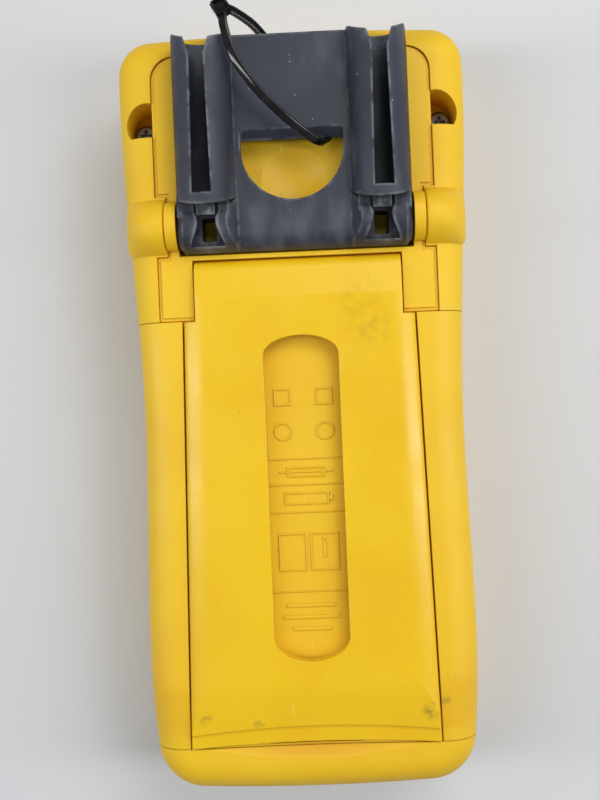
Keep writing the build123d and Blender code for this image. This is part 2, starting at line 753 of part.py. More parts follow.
def cut_probe_channel(side):
    """Bores one tube, slots its back, flares its mouth and opens the tip pocket below it."""
    centre = (side * TUBE_X, TUBE_Z)
    with BuildSketch(Plane.XZ.offset(-HOLDER_TOP - 1)) as bore:
        with Locations(centre):
            Circle(TUBE_BORE)
    extrude(bore.sketch, amount=HOLDER_TOP + 1 - LEDGE_Y, mode=Mode.SUBTRACT)
    with BuildSketch(Plane.XZ.offset(-LEDGE_Y - 1)) as tip:
        with Locations((centre[0], TIP_Z)):
            Circle(TIP_BORE)
    extrude(tip.sketch, amount=LEDGE_Y + 1 - TIP_LOW, mode=Mode.SUBTRACT)
    drain = sorted((side * (TUBE_X - 2.0), side * (TUBE_X + 2.0)))
    block(drain, (49.8, 56.4), (36, TIP_Z), Mode.SUBTRACT)
    slot_x = side * (TUBE_X + 0.6)
    with BuildSketch(Plane.XY.offset(TUBE_Z)) as slot:
        with BuildLine():
            Polyline(
                (slot_x - 2.7, LEDGE_Y + 1.4), (slot_x + 2.7, LEDGE_Y + 1.4),
                (slot_x + 2.0, HOLDER_TOP - 7), (slot_x + 4.6, HOLDER_TOP + 1),
                (slot_x - 4.6, HOLDER_TOP + 1), (slot_x - 2.0, HOLDER_TOP - 7), close=True,
            )
        make_face()
    extrude(slot.sketch, amount=20, mode=Mode.SUBTRACT)
    with BuildSketch(Plane.XZ.offset(-HOLDER_TOP)) as mouth:
        with Locations(centre):
            Circle(TUBE_BORE + 1.5)
    extrude(mouth.sketch, amount=4, taper=20, mode=Mode.SUBTRACT)


# ---------------------------------------------------------------- hinge pins and screws


def make_pins(axis, inner, outer):
    """A pair of steel stub pins fixed in the case, one each side."""
    with BuildPart() as pins:
        for side in (-1, 1):
            bar_along_x(axis, PIN_RADIUS, *sorted((side * inner, side * outer)))
    return pins


def case_screw(place, seat):
    """One case screw with a cross recess, its head resting on seat."""
    with BuildPart() as screw:
        with Locations((*place, seat)):
            Cylinder(SCREW_HEAD[0], SCREW_HEAD[1], align=UPWARD)
        fillet(screw.faces().sort_by(Axis.Z)[-1].edges(), 1.1)
        with Locations((*place, seat + SCREW_HEAD[1])):
            Box(3.4, 0.8, 2.4, mode=Mode.SUBTRACT)
            Box(0.8, 3.4, 2.4, mode=Mode.SUBTRACT)
        with Locations((*place, 9.5)):
            Cylinder(SCREW_SHANK, seat - 9.5, align=UPWARD)
    return screw.part


def make_case_screws():
    """The four case screws."""
    with BuildPart() as screws:
        for side in (-1, 1):
            add(case_screw((side * UPPER_SCREW[0], UPPER_SCREW[1]), UPPER_SEAT_Z))
            add(case_screw((side * LOWER_SCREW[0], LOWER_SCREW[1]), LOWER_SEAT_Z))
    return screws


# ---------------------------------------------------------------- battery bay contents


def make_battery_cells():
    """Six round cells in two banks of three, turned end for end from one to the next."""
    with BuildPart() as cells:
        for bank, low in enumerate(BANK_LOW):
            for column in range(3):
                x = (column - 1) * CELL_PITCH
                up = (column + bank) % 2 == 0
                body_low = low if up else low + 1.2
                nub_low = low + CELL_LENGTH - 1.3 if up else low
                with BuildSketch(Plane.XZ.offset(-body_low)):
                    with Locations((x, CELL_Z)):
                        Circle(CELL_RADIUS)
                extrude(amount=-(CELL_LENGTH - 1.2))
                with BuildSketch(Plane.XZ.offset(-nub_low)):
                    with Locations((x, CELL_Z)):
                        Circle(2.7)
                extrude(amount=-1.3)
    return cells


def make_battery_contacts():
    """Sprung contact plates at both ends of each bank, two of them joining neighbours."""
    with BuildPart() as contacts:
        for low in BANK_LOW:
            for plate_low in (low - CONTACT, low + CELL_LENGTH):
                spans = ((-21, -9), (-6, 21)) if plate_low < low else ((-21, 6), (9, 21))
                for span in spans:
                    block(span, (plate_low, plate_low + CONTACT), (28, 39))
    return contacts


FUSE_X = 30.6
FUSE_SPAN = (-49.0, -11.0)
FUSE_RADIUS = 5.1
CAP_LENGTH = 7.0


def fuse_bar(low, high, radius, mode=Mode.ADD):
    """A round bar along Y at both fuse positions."""
    with BuildSketch(Plane.XZ.offset(-low)) as section:
        with Locations((-FUSE_X, CELL_Z), (FUSE_X, CELL_Z)):
            Circle(radius)
    extrude(section.sketch, amount=-(high - low), mode=mode)


def make_fuse_tubes():
    """Ceramic bodies of the two fuses."""
    with BuildPart() as tubes:
        fuse_bar(FUSE_SPAN[0] + CAP_LENGTH, FUSE_SPAN[1] - CAP_LENGTH, FUSE_RADIUS - 0.3)
    return tubes


def make_fuse_caps():
    """Metal end caps of the two fuses."""
    with BuildPart() as caps:
        fuse_bar(FUSE_SPAN[0], FUSE_SPAN[0] + CAP_LENGTH, FUSE_RADIUS)
        fuse_bar(FUSE_SPAN[1] - CAP_LENGTH, FUSE_SPAN[1], FUSE_RADIUS)
    return caps


def make_fuse_clips():
    """Spring clips that grip the fuse caps."""
    with BuildPart() as clips:
        for x in (-FUSE_X, FUSE_X):
            for y in (FUSE_SPAN[0] + 3.5, FUSE_SPAN[1] - 3.5):
                block((x - 6.2, x + 6.2), (y - 2.5, y + 2.5), (BAY_FLOOR, CELL_Z + 2.5))
        fuse_bar(-60, 0, FUSE_RADIUS, Mode.SUBTRACT)
        for x in (-FUSE_X, FUSE_X):
            block((x - 4.2, x + 4.2), (-60, 0), (CELL_Z, CELL_Z + 8), Mode.SUBTRACT)
    return clips


# ---------------------------------------------------------------- front case


def make_front_overmould():
    """Soft yellow rim and sides of the front, which the meter rests on face down."""
    with BuildPart() as rim:
        add(front_half(0))
        add(front_half(SKIN), mode=Mode.SUBTRACT)
        with BuildSketch(Plane.XY.offset(-1)):
            add(case_plan(RIM_WIDTH))
        extrude(amount=6, mode=Mode.SUBTRACT)
    return rim


def make_front_case():
    """Dark front shell with openings for the display, keys, selector and input sockets."""
    with BuildPart() as case:
        add(front_half(SKIN))
        add(front_half(SKIN + WALL), mode=Mode.SUBTRACT)
        with Locations((*KNOB, SKIN)):
            Cylinder(DISH_RADIUS + 2.2, 7.5, align=UPWARD)
        with Locations((*KNOB, 0)):
            Cylinder(
                DISH_RADIUS, DISH_Z, align=UPWARD, mode=Mode.SUBTRACT
            )
            Cylinder(
                SHAFT_RADIUS + RUNNING_GAP, 30, align=UPWARD,
                mode=Mode.SUBTRACT,
            )
        with Locations((*KNOB, 8.0)):
            Cylinder(6.0, 3, align=UPWARD, mode=Mode.SUBTRACT)
        half, low, high = WINDOW
        block((-half, half), (low, high), (0, 10), Mode.SUBTRACT)
        block((-half - 1.5, half + 1.5), (low - 1.5, high + 1.5), (0, 3.6), Mode.SUBTRACT)
        for side in (-1, 1):
            for place in (UPPER_SCREW, LOWER_SCREW):
                with Locations((side * place[0], place[1], SKIN + 1)):
                    Cylinder(4.2, PART_Z - SKIN - 1, align=UPWARD)
        add(front_half(SKIN), mode=Mode.INTERSECT)
        for side in (-1, 1):
            for place in (UPPER_SCREW, LOWER_SCREW):
                with Locations((side * place[0], place[1], 8.5)):
                    Cylinder(
                        SCREW_SHANK, 20, align=UPWARD,
                        mode=Mode.SUBTRACT,
                    )
        with BuildSketch(Plane.XY.offset(PART_Z)):
            add(case_plan(SKIN + 0.8))
            add(case_plan(SKIN + 1.7), mode=Mode.SUBTRACT)
        extrude(amount=-0.9, mode=Mode.SUBTRACT)
        with Locations(*[(x, SOCKET_Y, 0) for x in SOCKET_X]):
            Cylinder(6.0, 10, mode=Mode.SUBTRACT)
        with BuildSketch(Plane.XY):
            for y in (SOFTKEY_Y, FUNCTION_KEY_Y):
                with Locations(*[(x, y) for x in KEY_X]):
                    SlotOverall(14.4, 7.4)
            with Locations((-ROUND_KEY[0], ROUND_KEY[1]), ROUND_KEY):
                Circle(4.7)
        extrude(amount=10, mode=Mode.SUBTRACT)
    return case


def make_case_seal():
    """Gasket in facing grooves of the two case halves."""
    with BuildPart() as seal:
        with BuildSketch(Plane.XY.offset(PART_Z - 0.9)):
            add(case_plan(SKIN + 0.8))
            add(case_plan(SKIN + 1.7), mode=Mode.SUBTRACT)
        extrude(amount=1.8)
    return seal


def make_plate(x, y, z, corner=1.0):
    """A flat rectangular piece with rounded corners."""
    with BuildPart() as plate:
        with BuildSketch(Plane.XY.offset(z[0])):
            with Locations(((x[0] + x[1]) / 2, (y[0] + y[1]) / 2)):
                RectangleRounded(x[1] - x[0], y[1] - y[0], corner)
        extrude(amount=z[1] - z[0])
    return plate


def make_display_frame():
    """Frame that holds the display behind its window."""
    half, low, high = WINDOW
    with BuildPart() as frame:
        block((-half - 4.5, half + 4.5), (low - 5, high + 5), (4.5, 11.5))
        block((-half - 2.5, half + 2.5), (low - 3, high + 3), (5.5, 12), Mode.SUBTRACT)
        block((-half, half), (low, high), (4, 12), Mode.SUBTRACT)
    return frame


def make_contact_strips():
    """Elastomer strips that join the display glass to the board."""
    half, low, high = WINDOW
    with BuildPart() as strips:
        for y in (low - 1.3, high + 1.3):
            block((-half + 2, half - 2), (y - 1.2, y + 1.2), (8.1, BOARD_Z))
    return strips


def make_key(place, round_key=False):
    """A key cap with its retaining flange and plunger; it moves KEY_TRAVEL towards the board."""
    with BuildPart() as key:
        for low, high, grow in ((1.0, 4.8, 0.0), (4.7, 5.7, 1.6)):
            with BuildSketch(Plane.XY.offset(low)):
                with Locations(place):
                    if round_key:
                        Circle(4.4 + grow / 2)
                    else:
                        SlotOverall(13.8 + grow, 6.8 + grow)
            extrude(amount=high - low)
        fillet(key.faces().sort_by(Axis.Z)[0].edges(), 0.7)
        with Locations((*place, 5.6)):
            Cylinder(1.6, 13.3 - 5.6 - KEY_TRAVEL, align=UPWARD)
    return key


def key_places():
    """Every key's name, place and whether it is round."""
    places = [(f"softkey_{i + 1}", (x, SOFTKEY_Y), False) for i, x in enumerate(KEY_X)]
    places += [(f"function_key_{i + 1}", (x, FUNCTION_KEY_Y), False) for i, x in enumerate(KEY_X)]
    places += [("power_key", (ROUND_KEY[0], ROUND_KEY[1]), True)]
    places += [("backlight_key", (-ROUND_KEY[0], ROUND_KEY[1]), True)]
    return places


def make_keypad_membrane():
    """Silicone sheet that the plungers pass through."""
    with BuildPart() as sheet:
        block((-38, 38), (-3, 23), (7.2, 8.2))
        for side in (-1, 1):
            block(sorted((side * 28, side * 38)), (-18, -2.9), (7.2, 8.2))
        with Locations(*[(*place, 7) for _, place, _ in key_places()]):
            Cylinder(2.2, 4, mode=Mode.SUBTRACT)
    return sheet


def make_dome_switches():
    """Ten snap domes on the board, one under each plunger."""
    with BuildPart() as domes:
        with Locations(*[(*place, 13.4) for _, place, _ in key_places()]):
            Cylinder(3.0, BOARD_Z - 13.4, align=UPWARD)
    return domes


# ---------------------------------------------------------------- board


def make_circuit_board():
    """Main board, notched round the screw bosses and drilled for the selector and sockets."""
    with BuildPart() as board:
        with BuildSketch(Plane.XY.offset(BOARD_Z)):
            add(case_plan(6.0))
            for side in (-1, 1):
                with Locations(
                    (side * UPPER_SCREW[0], UPPER_SCREW[1]), (side * LOWER_SCREW[0], LOWER_SCREW[1])
                ):
                    Circle(5.0, mode=Mode.SUBTRACT)
            with Locations(KNOB):
                Circle(5.0, mode=Mode.SUBTRACT)
            with Locations(*[(x, SOCKET_Y) for x in SOCKET_X]):
                Circle(2.7, mode=Mode.SUBTRACT)
        extrude(amount=BOARD_THICK)
    return board


def make_circuit_chips():
    """Integrated circuits on the back of the board."""
    low = BOARD_Z + BOARD_THICK
    with BuildPart() as chips:
        for x, y, size in ((-18, 62, 14), (12, 70, 12), (20, 40, 9), (-14, 34, 8), (4, 92, 7)):
            block((x - size / 2, x + size / 2), (y - size / 2, y + size / 2), (low, low + 1.6))
    return chips


def make_shield_can():
    """Tinned shield over the measuring circuit."""
    low = BOARD_Z + BOARD_THICK
    with BuildPart() as can:
        block((-22, 22), (-16, 14), (low, low + 5))
        block((-21.5, 21.5), (-15.5, 13.5), (low - 1, low + 4.5), Mode.SUBTRACT)
    return can


def make_surge_protectors():
    """Three discs of varistor behind the voltage input."""
    low = BOARD_Z + BOARD_THICK
    with BuildPart() as discs:
        with Locations((22, -70, low), (30, -62, low), (33, -52, low)):
            Cylinder(3.6, 5.0, align=UPWARD)
    return discs


def make_shunt():
    """Current shunt: a metal strap standing on two feet."""
    low = BOARD_Z + BOARD_THICK
    with BuildPart() as shunt:
        block((-34, -16), (-71, -66), (low, low + 5.5))
        block((-32.8, -17.2), (-72, -65), (low - 1, low + 4.3), Mode.SUBTRACT)
    return shunt


def make_beeper():
    """Piezo beeper."""
    with BuildPart() as beeper:
        with Locations((-30, 92, BOARD_Z + BOARD_THICK)):
            Cylinder(7.0, 5.0, align=UPWARD)
            Cylinder(1.2, 5.0, align=UPWARD, mode=Mode.SUBTRACT)
    return beeper


# ---------------------------------------------------------------- selector


def make_selector_knob():
    """Rotary selector: skirt, tapered grip bar and shaft."""
    with BuildPart() as knob:
        with Locations((*KNOB, 5.0)):
            Cylinder(KNOB_RADIUS, 1.9, align=UPWARD)
        with BuildSketch(Plane.XY.offset(5.1)):
            with Locations(KNOB):
                SlotOverall(43, 13, rotation=90)
        extrude(amount=-4.6, taper=8)
        fillet(knob.faces().sort_by(Axis.Z)[0].edges(), 0.8)
        with Locations((KNOB[0], KNOB[1] + 15, 0)):
            Box(1.4, 10, 1.6, mode=Mode.SUBTRACT)
        with Locations((*KNOB, 6.8)):
            Cylinder(SHAFT_RADIUS, 6.4, align=UPWARD)
    return knob


def make_selector_rotor():
    """Rotor disc on the shaft, scalloped for the detent."""
    with BuildPart() as rotor:
        with Locations((*KNOB, 10.6)):
            Cylinder(ROTOR_RADIUS, 1.8, align=UPWARD)
            Cylinder(
                SHAFT_RADIUS, 4, align=UPWARD, mode=Mode.SUBTRACT
            )
        with Locations((*KNOB, 11.5)):
            with PolarLocations(ROTOR_RADIUS + 0.2, 18):
                Cylinder(1.0, 4, mode=Mode.SUBTRACT)
    return rotor


def make_selector_contacts():
    """Wiper fingers on the rotor's face."""
    with BuildPart() as wipers:
        with Locations((*KNOB, 12.4)):
            for radius, count in ((9.0, 3), (14.0, 3), (17.5, 2)):
                with PolarLocations(radius, count, start_angle=radius * 7):
                    Box(2.4, 1.2, 2.3, align=UPWARD)
    return wipers


def make_ring(inner, outer, low, high):
    """A plain ring on the selector's axis."""
    with BuildPart() as ring:
        with Locations((*KNOB, low)):
            Cylinder(outer, high - low, align=UPWARD)
            Cylinder(
                inner, high - low, align=UPWARD, mode=Mode.SUBTRACT
            )
    return ring


def make_detent_spring():
    """Leaf spring beside the rotor that makes the selector's clicks."""
    with BuildPart() as spring:
        with Locations((*KNOB, 10.4)):
            Cylinder(22.6, 2.2, align=UPWARD)
            Cylinder(
                21.8, 2.2, align=UPWARD, mode=Mode.SUBTRACT
            )
        block((-12, 12), (KNOB[1] + 15, KNOB[1] + 25), (9.5, 13), Mode.INTERSECT)
        block((-14.5, -11.5), (KNOB[1] + 17.5, KNOB[1] + 20.5), (9.5, 13.0))
        block((11.5, 14.5), (KNOB[1] + 17.5, KNOB[1] + 20.5), (9.5, 13.0))
    return spring


# ---------------------------------------------------------------- input sockets


def make_socket(x):
    """Metal socket for a 4 mm plug, open towards the front."""
    with BuildPart() as socket:
        with Locations((x, SOCKET_Y, 4.0)):
            Cylinder(2.7, 17.0, align=UPWARD)
            Cylinder(
                SOCKET_BORE, 15.5, align=UPWARD, mode=Mode.SUBTRACT
            )
    return socket


def make_socket_shrouds():
    """Insulating tubes round the four sockets."""
    with BuildPart() as shrouds:
        for x in SOCKET_X:
            with Locations((x, SOCKET_Y, 1.6)):
                Cylinder(6.0, BOARD_Z - 1.6, align=UPWARD)
                Cylinder(
                    4.1, 11.0, align=UPWARD, mode=Mode.SUBTRACT
                )
                Cylinder(
                    2.7, 20.0, align=UPWARD, mode=Mode.SUBTRACT
                )
    return shrouds


# ---------------------------------------------------------------- cable tie


def tie_plane():
    """The upright plane of the tie's loop: X from the hole towards the head, Y up."""
    along = (Vector(*TIE_HEAD) - Vector(*TIE_HOLE)).normalized()
    return Plane(origin=(*TIE_HOLE, 0), x_dir=along, z_dir=along.cross(Vector(0, 0, 1)))


def make_tie_strap():
    """Nylon strap through the holder's hole, from one side of its head round to the other."""
    with BuildPart() as strap:
        with BuildSketch(tie_plane()):
            with BuildLine():
                FilletPolyline(
                    (43.0, 58.4), (30.0, 58.8), (9.0, 55.8), (-2.0, 52.2), (-2.0, 46.4),
                    (36.0, 46.4), (43.0, 56.4), radius=(12.0, 20.0, 3.0, 2.6, 3.0),
                )
            trace(line_width=TIE_THICK)
        extrude(amount=TIE_WIDTH / 2, both=True)
    return strap


def make_tie_head():
    """Ratchet head of the tie."""
    with BuildPart() as head:
        with Locations((*TIE_HEAD, 58.6)):
            Box(*TIE_HEAD_SIZE)
        fillet(head.edges().filter_by(Axis.Z), 0.6)
        add(make_tie_strap().part, mode=Mode.SUBTRACT)
    return head


# ---------------------------------------------------------------- build everything


def main():
    save(make_rear_overmould(), "rear_overmould")
    save(make_rear_case(), "rear_case")
    save(make_battery_door(), "battery_door")
    save(make_door_seal(), "door_seal")
    save(make_door_latch(-1), "door_latch_left")
    save(make_door_latch(1), "door_latch_right")
    save(make_tilt_stand(), "tilt_stand")
    save(make_pins(STAND_AXIS, 25.9, 34.4), "stand_hinge_pins")
    save(make_probe_holder(), "probe_holder")
    save(make_pins(HOLDER_AXIS, 30.3, 36.8), "holder_hinge_pins")
    save(make_case_screws(), "case_screws")
    save(make_battery_cells(), "battery_cells")
    save(make_battery_contacts(), "battery_contacts")
    save(make_fuse_tubes(), "fuse_tubes")
    save(make_fuse_caps(), "fuse_caps")
    save(make_fuse_clips(), "fuse_clips")
    save(make_front_overmould(), "front_overmould")
    save(make_front_case(), "front_case")
    save(make_case_seal(), "case_seal")
    half, low, high = WINDOW
    save(make_plate((-half - 1.4, half + 1.4), (low - 1.4, high + 1.4), (2.3, 3.6)), "display_window")
    save(make_plate((-half - 2.4, half + 2.4), (low - 2.8, high + 2.8), (5.5, 8.1)), "display_panel")
    save(make_plate((-half + 1, half - 1), (low + 1, high - 1), (8.1, 9.6)), "display_backlight")
    save(make_display_frame(), "display_frame")
    save(make_contact_strips(), "display_contact_strips")
    for name, place, round_key in key_places():
        save(make_key(place, round_key), name)
    save(make_keypad_membrane(), "keypad_membrane")
    save(make_dome_switches(), "dome_switches")
    save(make_circuit_board(), "circuit_board")
    save(make_circuit_chips(), "circuit_chips")
    save(make_shield_can(), "shield_can")
    save(make_surge_protectors(), "surge_protectors")
    save(make_shunt(), "current_shunt")
    save(make_beeper(), "beeper")
    save(make_selector_knob(), "selector_knob")
    save(make_selector_rotor(), "selector_rotor")
    save(make_selector_contacts(), "selector_contacts")
    save(make_ring(4.2, 5.9, 8.0, 9.4), "selector_seal")
    save(make_detent_spring(), "detent_spring")
    for name, x in zip(("amps", "milliamps", "common", "volts"), SOCKET_X):
        save(make_socket(x), f"socket_{name}")
    save(make_socket_shrouds(), "socket_shrouds")
    save(make_tie_strap(), "cable_tie_strap")
    save(make_tie_head(), "cable_tie_head")


main()
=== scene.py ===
import math

import bmesh
import bpy
from mathutils import Matrix, Vector


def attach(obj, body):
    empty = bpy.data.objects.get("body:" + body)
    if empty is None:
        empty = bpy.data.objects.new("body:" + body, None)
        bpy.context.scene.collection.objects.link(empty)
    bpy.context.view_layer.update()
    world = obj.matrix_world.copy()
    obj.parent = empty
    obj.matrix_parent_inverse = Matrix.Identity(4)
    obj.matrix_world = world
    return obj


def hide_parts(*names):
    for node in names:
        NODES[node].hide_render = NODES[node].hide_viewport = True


# ---------------------------------------------------------------- frame

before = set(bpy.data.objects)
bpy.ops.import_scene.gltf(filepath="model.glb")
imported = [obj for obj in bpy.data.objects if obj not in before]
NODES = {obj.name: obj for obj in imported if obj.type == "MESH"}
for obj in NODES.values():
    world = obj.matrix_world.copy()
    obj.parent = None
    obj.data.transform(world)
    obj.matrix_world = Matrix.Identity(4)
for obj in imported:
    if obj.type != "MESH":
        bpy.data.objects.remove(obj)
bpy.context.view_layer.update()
MM = 0.001
SHIFT = -2.75  # from the case's own middle to the row frame, along Y, in mm


def row(x, y, z):
    """A point given from the middle of the case, in mm, as a point of the row frame in metres."""
    return Vector((x * MM, (y + SHIFT) * MM, z * MM))


# ---------------------------------------------------------------- camera, floor and lights


def make_camera():
    """Looking straight down at the meter's back, with the meter turned a little in the view."""
    camera = bpy.data.objects.new("camera", bpy.data.cameras.new("camera"))
    camera.data.lens = 50.0
    camera.data.sensor_width = 36.0
    camera.data.clip_start = 0.01
    down = Matrix(((1, 0, 0), (0, -1, 0), (0, 0, -1)))
    turn = Matrix.Rotation(math.radians(-2.38), 3, "Z") @ Matrix.Rotation(math.radians(1.41), 3, "Y")
    view = turn @ down
    rotation = Matrix((view[0], -view[1], -view[2])).transposed()
    camera.matrix_world = Matrix.Translation((0.00709, 0.00025, 0.3662)) @ rotation.to_4x4()
    bpy.context.scene.collection.objects.link(camera)
    bpy.context.scene.camera = camera


def make_floor():
    """A plain pale floor."""
    mesh = bpy.data.meshes.new("floor")
    mesh.from_pydata([(-3, -3, 0), (3, -3, 0), (3, 3, 0), (-3, 3, 0)], [], [(0, 1, 2, 3)])
    floor = bpy.data.objects.new("floor", mesh)
    bpy.context.scene.collection.objects.link(floor)
    material, shader, tree = new_material("floor")
    shader.inputs["Base Color"].default_value = (0.62, 0.63, 0.65, 1)
    shader.inputs["Roughness"].default_value = 0.7
    mesh.materials.append(material)


def make_light(name, place, target, size, power, colour=(1, 1, 1)):
    """A soft rectangular light that faces its target."""
    data = bpy.data.lights.new(name, "AREA")
    data.shape = "RECTANGLE"
    data.size = size[0]
    data.size_y = size[1]
    data.energy = power
    data.color = colour
    light = bpy.data.objects.new(name, data)
    light.location = place
    light.rotation_euler = (Vector(target) - Vector(place)).to_track_quat("-Z", "Y").to_euler()
    bpy.context.scene.collection.objects.link(light)


def make_lights():
    """A large soft key from the upper right, a strip at each side and a pale surround."""
    make_light("key", (0.38, 0.62, 0.95), (0, 0, 0.03), (0.8, 0.55), 6.3, (1.0, 0.98, 0.95))
    make_light("right_strip", (0.66, -0.05, 0.62), (0, 0, 0.03), (0.14, 0.9), 3.6)
    make_light("left_strip", (-0.62, 0.0, 0.60), (0, 0, 0.03), (0.14, 0.9), 3.3)
    world = bpy.data.worlds.new("surround")
    world.use_nodes = True
    background = world.node_tree.nodes["Background"]
    background.inputs["Color"].default_value = (0.90, 0.94, 1.0, 1)
    background.inputs["Strength"].default_value = 0.26
    bpy.context.scene.world = world
    bpy.context.scene.view_settings.view_transform = "Standard"


# ---------------------------------------------------------------- node helpers


def new_material(name):
    """An empty material with its principled shader."""
    material = bpy.data.materials.new(name)
    material.use_nodes = True
    return material, material.node_tree.nodes["Principled BSDF"], material.node_tree


def node(tree, kind, **inputs):
    """A shader node with some of its input values set."""
    made = tree.nodes.new(kind)
    for key, value in inputs.items():
        made.inputs[key].default_value = value
    return made


def place_of(tree):
    """The point's place in the row frame, in metres."""
    return tree.nodes.new("ShaderNodeTexCoord").outputs["Object"]


def noise(tree, scale, detail=2.0, stretch=None, roughness=0.5):
    """Noise over the surface; stretch is a scale along each axis."""
    place = place_of(tree)
    if stretch:
        mapping = node(tree, "ShaderNodeMapping", Scale=stretch)
        tree.links.new(place, mapping.inputs["Vector"])
        place = mapping.outputs["Vector"]
    made = node(tree, "ShaderNodeTexNoise", Scale=scale, Detail=detail, Roughness=roughness)
    tree.links.new(place, made.inputs["Vector"])
    return made.outputs["Fac"]


def ramp(tree, value, low, high, start=0.0, end=1.0):
    """Maps low..high of a value to start..end, clamped and smooth."""
    made = tree.nodes.new("ShaderNodeMapRange")
    made.interpolation_type = "SMOOTHSTEP"
    made.inputs["From Min"].default_value = low
    made.inputs["From Max"].default_value = high
    made.inputs["To Min"].default_value = start
    made.inputs["To Max"].default_value = end
    tree.links.new(value, made.inputs["Value"])
    return made.outputs["Result"]


def combine(tree, operation, a, b):
    """One math operation on two values or sockets."""
    made = tree.nodes.new("ShaderNodeMath")
    made.operation = operation
    for socket, value in zip(made.inputs, (a, b)):
        if isinstance(value, (int, float)):
            socket.default_value = value
        else:
            tree.links.new(value, socket)
    return made.outputs["Value"]


def mix(tree, amount, a, b):
    """Mixes two colours, each a tuple or a socket, by a value."""
    made = tree.nodes.new("ShaderNodeMix")
    made.data_type = "RGBA"
    tree.links.new(amount, made.inputs["Factor"])
    for socket, value in ((made.inputs["A"], a), (made.inputs["B"], b)):
        if isinstance(value, tuple):
            socket.default_value = (*value, 1)
        else:
            tree.links.new(value, socket)
    return made.outputs["Result"]


def both(tree, a, b):
    """The product of two values or sockets."""
    return combine(tree, "MULTIPLY", a, b)


def lay_over(tree, tone, colour, where, amount):
    """Lays a colour over a tone where a value says, up to an amount."""
    return mix(tree, both(tree, where, amount), tone, colour)


def bump(tree, height, strength, distance, normal=None):
    """A bump normal from a height."""
    made = node(tree, "ShaderNodeBump", Strength=strength, Distance=distance)
    tree.links.new(height, made.inputs["Height"])
    if normal is not None:
        tree.links.new(normal, made.inputs["Normal"])
    return made.outputs["Normal"]


def soft_edges(tree, radius):
    """A normal that rounds sharp edges."""
    return node(tree, "ShaderNodeBevel", Radius=radius).outputs["Normal"]


def edge_mask(tree, radius, low, high):
    """One along the edges, zero on the flats."""
    bevel = soft_edges(tree, radius)
    flat = tree.nodes.new("ShaderNodeNewGeometry").outputs["Normal"]
    dot = tree.nodes.new("ShaderNodeVectorMath")
    dot.operation = "DOT_PRODUCT"
    tree.links.new(bevel, dot.inputs[0])
    tree.links.new(flat, dot.inputs[1])
    return ramp(tree, dot.outputs["Value"], low, high, 1.0, 0.0)


def crevice(tree, distance, low=0.35, high=0.9):
    """One deep in seams and corners, zero in the open, from ambient occlusion; it places painted
    shade there, and tarnish on metal.
    """
    made = node(tree, "ShaderNodeAmbientOcclusion", Distance=distance)
    made.samples = 6
    return ramp(tree, made.outputs["AO"], low, high, 1.0, 0.0)


def spot(tree, centre, radius, stretch=(1, 1, 1)):
    """One at a place on the object, fading to zero at the radius."""
    away = node(tree, "ShaderNodeVectorMath")
    away.operation = "SUBTRACT"
    tree.links.new(place_of(tree), away.inputs[0])
    away.inputs[1].default_value = centre
    scaled = tree.nodes.new("ShaderNodeVectorMath")
    scaled.operation = "MULTIPLY"
    tree.links.new(away.outputs["Vector"], scaled.inputs[0])
    scaled.inputs[1].default_value = stretch
    length = tree.nodes.new("ShaderNodeVectorMath")
    length.operation = "LENGTH"
    tree.links.new(scaled.outputs["Vector"], length.inputs[0])
    return ramp(tree, length.outputs["Value"], 0.15 * radius, radius, 1.0, 0.0)


# ---------------------------------------------------------------- materials

YELLOW = (0.83, 0.53, 0.010)
YELLOW_DEEP = (0.79, 0.475, 0.007)
YELLOW_RUBBED = (0.86, 0.70, 0.25)
# painted shade colour for seams and corners of the yellow mouldings
SEAM_SHADE = (0.78, 0.34, 0.007)
# painted shade colour for even darker patches
PATCH_SHADE = (0.72, 0.37, 0.006)
SOOT = (0.16, 0.115, 0.035)
HOLDER = (0.019, 0.023, 0.038)
HOLDER_PALE = (0.028, 0.033, 0.053)
# painted shade colour for the holder's corners and channels
HOLDER_SHADE = (0.012, 0.013, 0.013)
RUBBED_EDGE = (0.26, 0.28, 0.30)
SMEAR = (0.24, 0.25, 0.27)
SCUFF = (0.24, 0.26, 0.29)
DUST = (0.45, 0.45, 0.43)


def specks(tree, scale, size, seed):
    """Small scattered dots."""
    cells = tree.nodes.new("ShaderNodeTexVoronoi")
    cells.inputs["Scale"].default_value = scale
    mapping = node(tree, "ShaderNodeMapping", Location=(seed, seed * 0.37, 0))
    tree.links.new(place_of(tree), mapping.inputs["Vector"])
    tree.links.new(mapping.outputs["Vector"], cells.inputs["Vector"])
    near = ramp(tree, cells.outputs["Distance"], size * 0.5, size, 1.0, 0.0)
    chosen = combine(tree, "GREATER_THAN", noise(tree, scale * 0.31, 0.0), 0.60)
    return both(tree, near, chosen)


def scratches(tree, turn, scale):
    """Fine straight scratches along one direction."""
    mapping = node(
        tree, "ShaderNodeMapping", Rotation=(0, 0, turn), Scale=(scale, scale * 0.012, scale)
    )
    tree.links.new(place_of(tree), mapping.inputs["Vector"])
    lines = node(tree, "ShaderNodeTexNoise", Scale=1.0, Detail=1.0)
    tree.links.new(mapping.outputs["Vector"], lines.inputs["Vector"])
    thin = ramp(tree, lines.outputs["Fac"], 0.70, 0.76)
    patches = ramp(tree, noise(tree, 45.0, 2.0), 0.52, 0.66)
    return both(tree, thin, patches)


